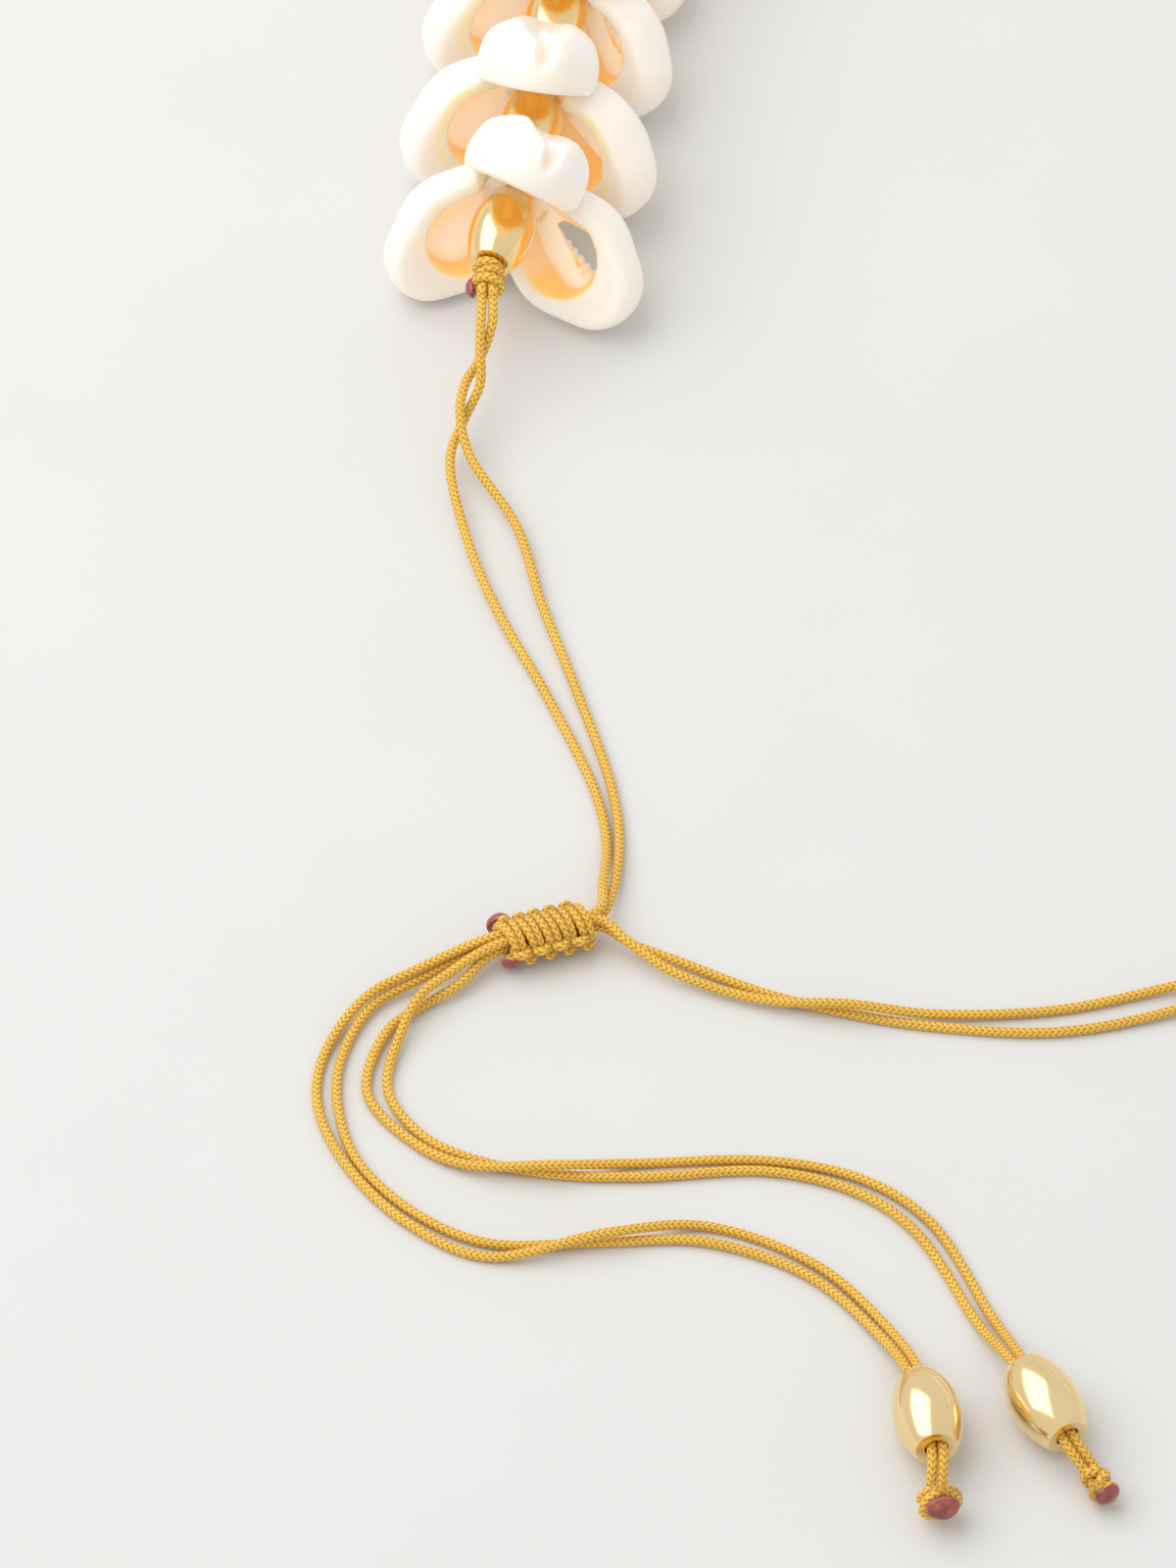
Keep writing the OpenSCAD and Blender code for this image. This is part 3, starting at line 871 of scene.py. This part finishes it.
def nearness(tree, p):
    distance = tree.find_nearest(p)[3]
    return max(0.0, min(1.0, 1.25 - distance / 0.4))


def model_of(row, k, faces):
    shell, core = shell_open if (row, k) in open_looks else shell_full
    around, own = hang(*layer_looks[row][k])
    obj = copied(shell, "hung")
    obj.data.transform(own)
    modify(obj, "REMESH", mode="VOXEL", voxel_size=0.26)
    carve(obj, cutter, keep=True)
    modify(obj, "SMOOTH", factor=0.5, iterations=6)
    modify(obj, "DISPLACE", strength=0.05, mid_level=0)
    triangles = sum(len(p.vertices) - 2 for p in obj.data.polygons)
    modify(obj, "DECIMATE", ratio=min(1.0, faces / triangles))
    mark_shell(obj, own, core, k == upright_place)
    obj.data.transform(around)
    obj.data.polygons.foreach_set("use_smooth", [True] * len(obj.data.polygons))
    return obj


models = {}
strings = {"left": [], "right": []}
left_layers = math.ceil(layer_count / 2)
for layer in range(layer_count):
    row = layer % len(layer_looks)
    for k in range(3):
        faces = near_faces if layer < near_layers else far_faces
        key = (row, k, faces)
        if key not in models:
            models[key] = model_of(row, k, faces)
        s = layer * layer_pitch + bead_length + bead_gap + tab_t / 2 + k * tab_pitch
        twin = placed(models[key], "shell", on_strand(s))
        tone = math.sin(layer * 12.9898 + k * 78.233) * 43758.5453 % 1.0
        values = [tone] * len(twin.data.vertices)
        twin.data.attributes.new("shell_tone", "FLOAT", "POINT").data.foreach_set("value", values)
        strings["left" if layer < left_layers else "right"].append(twin)
for part in list(models.values()) + list(shell_open) + list(shell_full) + [cutter]:
    bpy.data.objects.remove(part)
for side, parts in strings.items():
    dress(joined("cowrie_shells_" + side, parts), shell_material, "shell", "shells_" + side)


# Knots of the same braided cord, in their own frames, +X the way the cords leave
def frame_at(place, heading, tilt=0.0):
    return (
        Matrix.Translation(place) @ Matrix.Rotation(math.radians(heading), 4, "Z")
        @ Matrix.Rotation(math.radians(-tilt), 4, "Y")
    )


def tied(name, where, strands, width):
    """One knot of several braided strands given by their points, with painted shade marked where
    they meet.
    """
    made = []
    for points, closed in strands:
        world = [tuple(where @ Vector(p)) for p in points]
        made.append(braided_tube(name, world, width, knot_pitch, sides=20, closed=closed))
    for i, (obj, _) in enumerate(made):
        others = np.vstack([line for j, (_, line) in enumerate(made) if j != i])
        places = np.empty(len(obj.data.vertices) * 3, dtype=np.float32)
        obj.data.vertices.foreach_get("co", places)
        gaps = np.linalg.norm(places.reshape(-1, 1, 3) - others[None], axis=2).min(axis=1) / MM
        # painted shade: strongest where a point lies against another strand
        crease_shade = np.clip(1 - (gaps - width / 2) / 0.3, 0, 1).astype(np.float32)
        obj.data.attributes.new("braid_crease", "FLOAT", "POINT").data.foreach_set("value", crease_shade)
    return joined(name, [obj for obj, _ in made])


def ring(x, r, turn, lean=0.0, low=1.0):
    """A closed ring of cord across the knot's way, turned about Z and leant about Y.

    The ring's lower half is low times as high as the upper one.
    """
    count = 14
    points = []
    for j in range(count):
        a = 2 * math.pi * j / count
        p = Vector((0, r * math.cos(a), r * math.sin(a) * (low if a > math.pi else 1.0)))
        p = Matrix.Rotation(math.radians(turn), 3, "Z") @ p
        p = Matrix.Rotation(math.radians(lean), 3, "Y") @ p
        points.append((p.x + x, p.y, p.z))
    return (points, True)


# A strand knot: three rings wound round the two cords that leave it
def strand_knot(name, place, heading, flip):
    where = frame_at((place[0], place[1], strand_z), heading)
    rings = [
        ring(0.38, 1.2, 10 * flip, -4), ring(1.5, 1.3, -18 * flip, 5),
        ring(2.65, 1.25, 9 * flip, -6),
    ]
    legs = [([
        (2.2, side * 0.3, 0.2), (3.05, side * 0.5, 0.45), (3.55, side * 0.6, 0.35),
        (4.0, side * knot_gap, 0),
    ], False) for side in (-1, 1)]
    core = ([(-0.3, 0, 0), (1.5, 0, 0), (3.0, 0, 0)], False)
    return tied(name, where, rings + [core] + legs, 1.08)


dress(strand_knot("braided_strand_knot_a", knot_start, knot_heading + 180, -1),
      cord_material, "cord", "strand_knot_a")
dress(strand_knot("braided_strand_knot_b", strand_stop, strand_stop[2], 1),
      cord_material, "cord", "strand_knot_b")


# The sliding knot: pairs of wraps across the cords, held down by lumps along both sides
def wrap_loop(x, slant, wide, high):
    """A wrap that slants over the front and comes back flatter underneath."""
    points = []
    for i in range(16):
        a = 2 * math.pi * i / 16
        lean = slant * math.cos(a) if math.sin(a) > -0.2 else -slant * math.cos(a) * 0.4
        points.append((x - lean, wide * math.cos(a), high * math.sin(a)))
    return points


def side_lump(x, reach, side, lift, half):
    """A short bight of cord that holds the wraps down along one side."""
    foot, knee = (side * (reach - 1.15), lift * 0.2), (side * (reach - 0.45), lift * 0.7)
    return ([
        (x - half,) + foot, (x - half,) + knee,
        (x - half * 0.4, side * reach, lift), (x + half * 0.4, side * reach, lift),
        (x + half,) + knee, (x + half,) + foot,
    ], False)


wrap_pairs, first_pair, pair_pitch = 5, -3.55, 1.76
wrap_wide = 1.8
upper_lumps = (-3.8, -2.25, -0.7, 0.95, 2.65)
lower_lumps = (-3.1, -1.05, 0.95, 2.95)
slider_cord_d = 0.96
slider_strands = []
for i in range(wrap_pairs):
    x = first_pair + pair_pitch * i
    slider_strands.append((wrap_loop(x - 0.44, 0.52 + 0.1 * (i % 2), wrap_wide, 1.62), True))
    slider_strands.append((wrap_loop(x + 0.46, 0.16 + 0.12 * (i % 3), wrap_wide, 1.55), True))
for x in upper_lumps:
    slider_strands.append(side_lump(x, 1.85, 1, 1.15, 0.4))
for x in lower_lumps:
    slider_strands.append(side_lump(x, 2.45, -1, 0.35, 0.6))
    slider_strands.append(side_lump(x + 0.95, 1.95, -1, -1.25, 0.42))
slider_frame = frame_at(slider_middle, slider_heading - 180)
slider = tied("braided_sliding_knot", slider_frame, slider_strands, slider_cord_d)
dress(slider, cord_material, "cord", "sliding_knot")


# The tail knots: one of flat rings round the pair, one of turns that slant over the front
def tail_knot(name, i, rings, width, legs=()):
    return tied(name, frame_at(*tail_knots[i]), [ring(*r) for r in rings] + list(legs), width)


dress(tail_knot("braided_tail_knot_a", 0, [
    (0.15, 1.78, 13, -8, 0.7), (-0.4, 1.74, -15, 7, 0.75), (-0.2, 1.05, 0), (0.2, 0.45, 0),
    (-0.7, 0.5, 0),
], 1.06), cord_material, "cord", "tail_knot_a")

pair_end = [([
    (-2.1, side * 0.54, 0), (-1.2, side * 0.5, 0), (0, side * 0.35, -0.1), (0.8, side * 0.2, 0),
], False) for side in (-1, 1)]
dress(tail_knot("braided_tail_knot_b", 1, [
    (0.15, 1.2, 42, 10), (-0.85, 0.95, -30, -6), (0.85, 1.0, -12, 16),
], 1.1, pair_end), cord_material, "cord", "tail_knot_b")


# Melted cord ends: small glassy drops, flat at the back
tip_back = 0.25


def melted_tip(name, where, r, h, stretch=1.0):
    bpy.ops.object.select_all(action="DESELECT")
    bpy.ops.mesh.primitive_uv_sphere_add(segments=48, ring_count=24, radius=1)
    obj = bpy.context.object
    obj.name = name
    cut_plane(obj, (0, 0, -tip_back), (0, 0, -1))
    for vertex in obj.data.vertices:
        x, y, z = vertex.co
        a = math.atan2(y, x)
        swell = 1 + 0.03 * math.sin(3 * a + 1.3) + 0.015 * math.sin(5 * a) - 0.04 * x * z
        height = (z + tip_back) / (1 + tip_back) * h
        vertex.co = (x * r * swell, y * r * swell * stretch, height)
    obj.data.transform(to_metres @ where)
    obj.data.polygons.foreach_set("use_smooth", [True] * len(obj.data.polygons))
    return dress(obj, melted_material, "melted_tip", name.replace("melted_", ""))


# Where the drops sit on their knots; out is how far a drop's back lies from there
knot_outer = 1.15 + knot_length / 6 + 0.1
slider_tip_x = 4.1
tail_tip_x = 1.45
for name, place, heading, side in (
    ("melted_strand_tip_a", knot_start, knot_heading + 180, 1),
    ("melted_strand_tip_b", strand_stop, strand_stop[2], -1),
):
    where = frame_at((place[0], place[1], strand_z), heading)
    where = where @ Matrix.Translation((0.15 + knot_length * 0.78, 0, 0))
    where = where @ Matrix.Rotation(math.radians(side * 100), 4, "X")
    melted_tip(name, where @ Matrix.Translation((0, 0, knot_outer - 0.4)), 1.2, 0.95, 0.75)

for name, side, tilt, out, r, h in (
    ("melted_slider_tip_upper", 1, -5, 2.25, 1.3, 1.4),
    ("melted_slider_tip_lower", -1, -35, 1.75, 1.0, 1.05),
):
    where = frame_at(slider_middle, slider_heading)
    where = where @ Matrix.Translation((slider_tip_x, 0, 0))
    where = where @ Matrix.Rotation(math.radians(side * (90 - tilt)), 4, "X")
    melted_tip(name, where @ Matrix.Translation((0, 0, out)), r, h)

for name, i, tilt, out, r, h, stretch in (
    ("melted_tail_tip_a", 0, 38, 0.12, 1.2, 0.8, 1.4),
    ("melted_tail_tip_b", 1, 10, -0.1, 1.2, 1.0, 1.12),
):
    place, heading = tail_knots[i]
    where = frame_at(place, heading) @ Matrix.Rotation(math.radians(90 - tilt), 4, "Y")
    melted_tip(name, where @ Matrix.Translation((0, 0, tail_tip_x + out)), r, h, stretch)


# Floor and soft studio light from the upper left
bpy.ops.object.select_all(action="DESELECT")
bpy.ops.mesh.primitive_plane_add(size=6, location=(0, 0, 0))
floor = bpy.context.object
floor.name = "table"
floor.data.materials.append(floor_look("pale_table"))

world = bpy.data.worlds.new("studio")
bpy.context.scene.world = world
world.use_nodes = True
background = world.node_tree.nodes["Background"]
background.inputs["Color"].default_value = (0.985, 0.99, 1.0, 1)
background.inputs["Strength"].default_value = 0.76


def softbox(name, place, aim, width, height, power, colour):
    light = bpy.data.lights.new(name, "AREA")
    light.shape = "RECTANGLE"
    light.size = width
    light.size_y = height
    light.energy = power
    light.color = colour
    obj = bpy.data.objects.new(name, light)
    obj.location = place
    obj.rotation_euler = (Vector(aim) - Vector(place)).to_track_quat("-Z", "Y").to_euler()
    bpy.context.collection.objects.link(obj)


softbox("window", (-0.43, 0.08, 0.62), (-0.06, -0.03, 0), 1.0, 0.75, 3.7, (1.0, 0.99, 0.97))

bpy.context.scene.view_settings.view_transform = "Standard"
